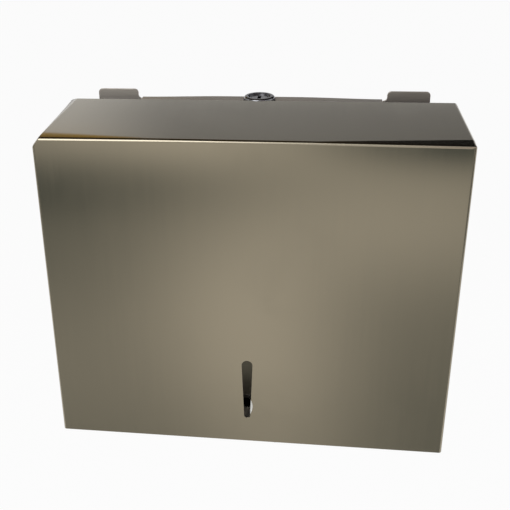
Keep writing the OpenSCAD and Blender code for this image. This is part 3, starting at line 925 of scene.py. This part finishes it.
@dataclass
class Lock:
    """The cam lock: head, barrel with its thread, gasket, washers, nut, plug and cam."""

    materials: Mapping[str, Material]
    tools: Tools
    thread_pitch: float = 1.0 * MM
    thread_depth: float = 0.22 * MM
    thread_free: float = 0.5 * MM
    barrel_r: float = 8.0 * MM
    half_flats: float = 7.06 * MM
    teeth: int = 12
    tooth: Point = (1.1 * MM, 2.5 * MM, 0.34 * MM)
    tooth_r: float = 8.9 * MM
    tooth_twist: float = 22.0
    tooth_edge: float = 0.04 * MM
    band_in: float = 8.05 * MM
    band_out: float = 8.7 * MM
    band_steps: int = 64

    def _thread(self) -> None:
        """Winds the thread around the barrel below the nut."""
        low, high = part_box("lock_body")
        start = [(low.x + high.x) / 2.0, (low.y + high.y) / 2.0, low.z + self.thread_free]
        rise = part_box("lock_nut")[0].z - low.z - 2.0 * self.thread_free
        ridge = grown(self.tools.thread, "barrel_thread", None, Radius=self.barrel_r, Start=start,
                      Pitch=self.thread_pitch, Turns=rise / self.thread_pitch, Depth=self.thread_depth,
                      Flat=self.half_flats, Finish=self.materials["lock_chrome"])
        ridge.data.shade_smooth()
        seat(ridge, "lock_chrome", body=frame["nodes"]["lock_body"]["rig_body"])

    def _tooth_washer(self) -> None:
        """Makes the lock washer, whose twisted teeth bite the ledge."""
        zinc = self.materials["lock_zinc"]
        low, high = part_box("lock_tooth_washer")
        centre = (low + high) / 2.0
        half, inner, outer = ((high.z - low.z) / 2.0 / MM, self.band_in / MM, self.band_out / MM)
        twist = Matrix.Rotation(math.radians(self.tooth_twist), 3, "X")
        tooth = bmesh.new()
        bmesh.ops.create_cube(tooth, size=1.0)
        bmesh.ops.scale(tooth, verts=tooth.verts, vec=self.tooth)
        bmesh.ops.rotate(tooth, verts=tooth.verts, matrix=twist)
        bmesh.ops.translate(tooth, verts=tooth.verts, vec=(self.tooth_r, 0.0, 0.0))
        ring = grown(self.tools.copies, "teeth", tooth, Count=self.teeth, Start=list(centre),
                     Turn=2.0 * math.pi / self.teeth, Finish=zinc)
        band = turned_form([(inner, -half), (outer, -half), (outer, half), (inner, half)], self.band_steps)
        bmesh.ops.translate(band, verts=band.verts, vec=centre)
        band.from_mesh(ring.data)
        bpy.data.objects.remove(ring)
        seat(finished(band, "tooth_washer", zinc, self.tooth_edge), "lock_zinc", "lock_tooth_washer")

    def build(self) -> None:
        """Makes every piece of the lock."""
        for pressing in LOCK_PRESSINGS:
            pressing.build(self.materials)
        self._tooth_washer()
        self._thread()


@dataclass(frozen=True)
class Softbox:
    """A soft lamp that the camera doesn't see."""

    name: str
    place: Point
    aim: Point
    size: Span
    level: float
    tint: Colour = (1.0, 1.0, 1.0)

    def build(self) -> None:
        """Hangs the lamp. Its power comes from how bright its face is beside white."""
        lamp = bpy.data.lights.new(self.name, "AREA")
        lamp.shape = "RECTANGLE"
        lamp.size, lamp.size_y = self.size
        lamp.energy = self.level * math.pi * self.size[0] * self.size[1]
        lamp.color = self.tint
        hung = linked(self.name, lamp)
        hung.location = self.place
        hung.rotation_euler = (Vector(self.aim) - Vector(self.place)).to_track_quat("-Z", "Y").to_euler()
        hung.visible_camera = False


@dataclass(frozen=True)
class Glow:
    """A soft round spot on a card, in the card's own plane, that adds to its tone."""

    centre: Span
    size: Span
    amount: float

    def shade(self, wires: Wires, flat: Feed) -> NodeSocket:
        """Works out the spot at a place in the card's plane.

        Args:
            wires: the wires of the card's material.
            flat: the place.

        Returns:
            What the spot adds to the tone.
        """
        away = wires.vector_math("SUBTRACT", flat, (*self.centre, 0.0))
        away = wires.vector_math("DIVIDE", away, (*self.size, 1.0))
        square = wires.node("ShaderNodeVectorMath", {0: away, 1: away}, operation="DOT_PRODUCT").outputs[1]
        fade = wires.math("EXPONENT", wires.math("MULTIPLY", square, -1.0))
        return wires.math("MULTIPLY", fade, self.amount)


def rectangle(low: Point, high: Point) -> list[Point]:
    """Returns the corners of a level or upright rectangle.

    Args:
        low: one corner.
        high: the opposite corner, which is as high as the first one where the rectangle is level.

    Returns:
        The four corners in turn.
    """
    near, far = (low[1], high[1]) if low[2] == high[2] else (high[1], low[1])
    return [low, (high[0], near, low[2]), high, (low[0], far, high[2])]


def even(colour: Colour) -> Shade:
    """Returns the shade of a card that has one colour all over."""
    return lambda wires, place: colour


class Studio:
    """A white floor far below, cards around the object for its steel to mirror, soft lamps and the camera.

    Four numbers are a ramp's start and end, and its values there. Two are those of a ramp from 0 to 1.
    """

    lens = 59.75
    shift_x = 0.1
    camera_place = (45.89 * MM, -623.80 * MM, 276.06 * MM)
    camera_turn = (64.573, 1.379, 7.730)
    lamps = (
        Softbox("key_softbox", (-0.78, -1.5, 1.22), (0.0, -0.06, 0.0), (1.25, 1.5), 2.8),
        Softbox("fill_softbox", (2.0, -1.2, 0.9), (0.0, -0.06, 0.0), (1.2, 1.2), 1.2),
        Softbox("rear_softbox", (0.3, 2.2, 1.0), (0.0, 0.0, 0.0), (1.6, 1.0), 1.2),
        Softbox("inner_softbox", (0.0, -0.006, -0.098), (0.0, -0.06, -0.114), (0.20, 0.016), 0.16,
                (1.0, 0.98, 0.80)),
    )
    room_light = 0.55
    floor_low = (-30.0, -30.0, -1.3)
    floor_high = (30.0, 30.0, -1.3)
    floor_matt = (0.86, 0.86, 0.86)
    floor_white = 0.93
    white = (1.0, 1.0, 1.0)
    black = (0.0, 0.0, 0.0)
    flag_black = (0.015, 0.015, 0.015)

    front_y = -1.3
    front_tone = 0.36
    front_glows = (
        Glow((-0.12, -0.67), (0.21, 0.26), 0.58),
        Glow((-0.04, -0.98), (0.18, 0.28), 0.36),
        Glow((0.24, -0.43), (0.32, 0.17), 0.42),
        Glow((-0.30, -0.262), (0.44, 0.070), 0.66),
        Glow((-0.57, -0.362), (0.32, 0.085), -0.26),
        Glow((-0.58, -0.53), (0.34, 0.16), -0.06),
        Glow((-0.58, -0.85), (0.22, 0.25), 0.14),
        Glow((0.28, -0.264), (0.22, 0.049), -0.74),
        Glow((0.32, -0.98), (0.20, 0.16), -0.09),
    )
    front_rise = (-0.22, 0.0, 0.0, 0.45)
    front_least = 0.05
    front_dark = (0.0, 0.03, 0.035)
    front_pale = (1.03, 1.0, 0.94)
    right_pink = (0.56, 0.46, 0.46)

    back_y = 1.3
    back_side = (-0.62, -0.26, 0.72, 0.34)
    back_fall = (-0.2, 0.5, 0.0, 0.09)
    back_foot = (0.435, 0.465, 0.38, 0.0)
    back_brow = (0.605, 0.62)
    brown = (0.08, 0.055, 0.03)
    brown_end = (-0.05, 0.2)
    soot = (0.012, 0.012, 0.012)
    gold = (0.46, 0.30, 0.07)
    gold_side = (-0.5, -0.25, 1.0, 0.0)
    gold_top = (0.74, 0.86, 1.0, 0.0)
    overhead_dark = ((0.07, 0.055, 0.035), (0.02, 0.02, 0.02))
    overhead_turn = (-0.1, 0.4)

    mouth_half = 105 * MM
    mouth_front = -92.9 * MM
    mouth_rear = -65.9 * MM
    mouth_r = 11 * MM
    mouth_up = 0.3 * MM
    mouth_steps = 6
    gap_inset = 1.5 * MM
    gap_half = 130 * MM

    @staticmethod
    def _seen(wires: Wires) -> NodeSocket:
        """Returns 1 where the camera, gloss or glass looks, and 0 for the rest of the light."""
        path = wires.node("ShaderNodeLightPath").outputs
        return wires.math("MAXIMUM", path["Is Transmission Ray"],
                          wires.math("MAXIMUM", path["Is Camera Ray"], path["Is Glossy Ray"]))

    def _world(self) -> None:
        """Makes the surroundings white to the camera and to gloss, and an even light to the rest."""
        world = bpy.data.worlds.new("studio")
        wires = cleared(world)
        level = wires.ramp(self._seen(wires), 0.0, 1.0, self.room_light, 1.0)
        shade = wires.node("ShaderNodeBackground", {"Color": self.white, "Strength": level})
        wires.node("ShaderNodeOutputWorld", {"Surface": shade.outputs[0]})
        bpy.context.scene.world = world

    @staticmethod
    def _plane(name: str, corners: Sequence[Point], material: Material) -> Object:
        """Lays one flat panel.

        Args:
            name: the panel's name.
            corners: its corners in turn.
            material: its material.

        Returns:
            The panel.
        """
        mesh = bpy.data.meshes.new(name)
        mesh.from_pydata(corners, [], [tuple(range(len(corners)))])
        mesh.materials.append(material)
        panel = linked(name, mesh)
        return panel

    def _floor(self) -> None:
        """Lays the floor: white to the camera and to gloss, but for the object's soft shadow."""
        material = bpy.data.materials.new("pale_floor")
        wires = cleared(material)
        matt = wires.node("ShaderNodeBsdfDiffuse", {"Color": self.floor_matt})
        white = wires.node("ShaderNodeEmission", {"Color": self.white, "Strength": 1.0})
        share = wires.math("MULTIPLY", self._seen(wires), self.floor_white)
        both = wires.node("ShaderNodeMixShader", {0: share, 1: matt.outputs[0], 2: white.outputs[0]})
        wires.node("ShaderNodeOutputMaterial", {"Surface": both.outputs[0]})
        self._plane("floor", rectangle(self.floor_low, self.floor_high), material)

    def _card(self, name: str, corners: Sequence[Point], shade: Shade, seen: bool = False) -> None:
        """Hangs a glowing card that gloss sees.

        Args:
            name: the card's name.
            corners: its corners in turn.
            shade: gives the colour at a place on the card.
            seen: whether the camera sees it too.
        """
        material = bpy.data.materials.new(name + "_glow")
        wires = cleared(material)
        place = wires.split(wires.node("ShaderNodeTexCoord").outputs["Object"])
        glow = wires.node("ShaderNodeEmission", {"Color": shade(wires, place), "Strength": 1.0})
        wires.node("ShaderNodeOutputMaterial", {"Surface": glow.outputs[0]})
        card = self._plane(name, corners, material)
        card.visible_camera = seen
        card.visible_diffuse = False
        card.visible_shadow = False

    def _front_shade(self, wires: Wires, place: Place) -> Feed:
        """Shades the front card: pale in the middle and at the upper left, dark at the upper right.

        Args:
            wires: the wires of the card's material.
            place: x, y and z on the card.

        Returns:
            The colour there.
        """
        tone, flat = self.front_tone, wires.joined(place[0], place[2])
        for glow in self.front_glows:
            tone = wires.math("ADD", tone, glow.shade(wires, flat))
        tone = wires.math("ADD", tone, wires.ramp(place[2], *self.front_rise))
        return wires.mix(wires.math("MAXIMUM", tone, self.front_least), self.front_dark, self.front_pale)

    def _back_shade(self, wires: Wires, place: Place) -> Feed:
        """Shades the rear card: grey below and paler to the left, dark above with gold at its left.

        Args:
            wires: the wires of the card's material.
            place: x, y and z on the card.

        Returns:
            The colour there.
        """
        x, y, z = place
        grey = wires.math("SUBTRACT", wires.ramp(x, *self.back_side), wires.ramp(x, *self.back_fall))
        grey = wires.math("ADD", grey, wires.ramp(z, *self.back_foot))
        dark = wires.mix(wires.ramp(x, *self.brown_end), self.brown, self.soot)
        golden = wires.math("MULTIPLY", wires.ramp(x, *self.gold_side), wires.ramp(z, *self.gold_top))
        return wires.mix(wires.ramp(z, *self.back_brow), grey, wires.mix(golden, dark, self.gold))

    def _overhead_shade(self, wires: Wires, place: Place) -> Feed:
        """Shades the overhead card, which is darker to the right."""
        return wires.mix(wires.ramp(place[0], *self.overhead_turn), *self.overhead_dark)

    def _cards(self) -> None:
        """Hangs the cards that the steel mirrors, and the black flags that give the lock its dark lines."""
        front, back, black = self.front_y, self.back_y, even(self.flag_black)
        for name, low, high, shade in (
                ("front_card", (-2.0, front, -1.28), (2.0, front, 0.36), self._front_shade),
                ("back_card", (-2.5, back, 0.2), (2.5, back, 1.8), self._back_shade),
                ("overhead_card", (-2.5, -0.9, 1.8), (2.5, back, 1.8), self._overhead_shade),
                ("right_card", (0.30, front, 0.36), (2.0, front, 1.7), even(self.right_pink)),
                ("left_flag", (-1.6, -0.80, -0.7), (-1.6, -0.40, 0.9), black),
                ("right_flag", (1.6, -1.15, -0.7), (1.6, -0.55, 0.9), black)):
            self._card(name, rectangle(low, high), shade)

    def _mouth_shade_card(self) -> None:
        """Lays painted shade in the mouth's collar: a black card that casts no shadow, so that the slot shows
        no white floor.
        """
        z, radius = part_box("towel_tray")[0].z + self.mouth_up, self.mouth_r
        x, front, rear = self.mouth_half - radius, self.mouth_front + radius, self.mouth_rear - radius
        corners = []
        for turn, centre in enumerate(((x, front, z), (x, rear, z), (-x, rear, z), (-x, front, z))):
            for step in range(self.mouth_steps + 1):
                angle = math.pi / 2.0 * (turn - 1 + step / self.mouth_steps)
                corners.append(Vector(centre) + radius * Vector((math.cos(angle), math.sin(angle), 0.0)))
        self._card("mouth_shade_card", corners, even(self.black), seen=True)

    def _gap_card(self) -> None:
        """Paints a dark reflection into the tray's lip: a black card for gloss alone under the gap between
        the lip and the cover.
        """
        low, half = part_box("front_cover")[0], self.gap_half
        front, rear = low.y + self.gap_inset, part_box("towel_tray")[0].y - self.gap_inset
        self._card("gap_card", rectangle((-half, front, low.z), (half, rear, low.z)), even(self.flag_black))

    def _camera(self) -> None:
        """Sets the camera where the photograph was taken from."""
        lens = bpy.data.cameras.new("camera")
        lens.lens = self.lens
        lens.sensor_width = 36.0
        lens.shift_x = self.shift_x
        lens.clip_start = 0.01
        camera = linked("camera", lens)
        camera.location = self.camera_place
        camera.rotation_euler = [math.radians(angle) for angle in self.camera_turn]
        bpy.context.scene.camera = camera

    def build(self) -> None:
        """Sets up the studio."""
        self._world()
        self._floor()
        self._cards()
        self._mouth_shade_card()
        self._gap_card()
        for lamp in self.lamps:
            lamp.build()
        self._camera()
        bpy.context.scene.view_settings.view_transform = "Standard"


def main() -> None:
    """Builds the studio and dresses every piece."""
    logging.basicConfig(level=logging.INFO, format="%(message)s")
    Studio().build()
    effects, tools = Effects(), Tools()
    materials = {slot: finish.build(effects) for slot, finish in FINISHES.items()}
    Cover(materials).build()
    SlotGlint(materials).build()
    Body(materials).build()
    for pressing in SHEET_PRESSINGS:
        pressing.build(materials)
    RivetRows(materials, tools).build()
    Lock(materials, tools).build()


if __name__ == "__main__":
    main()
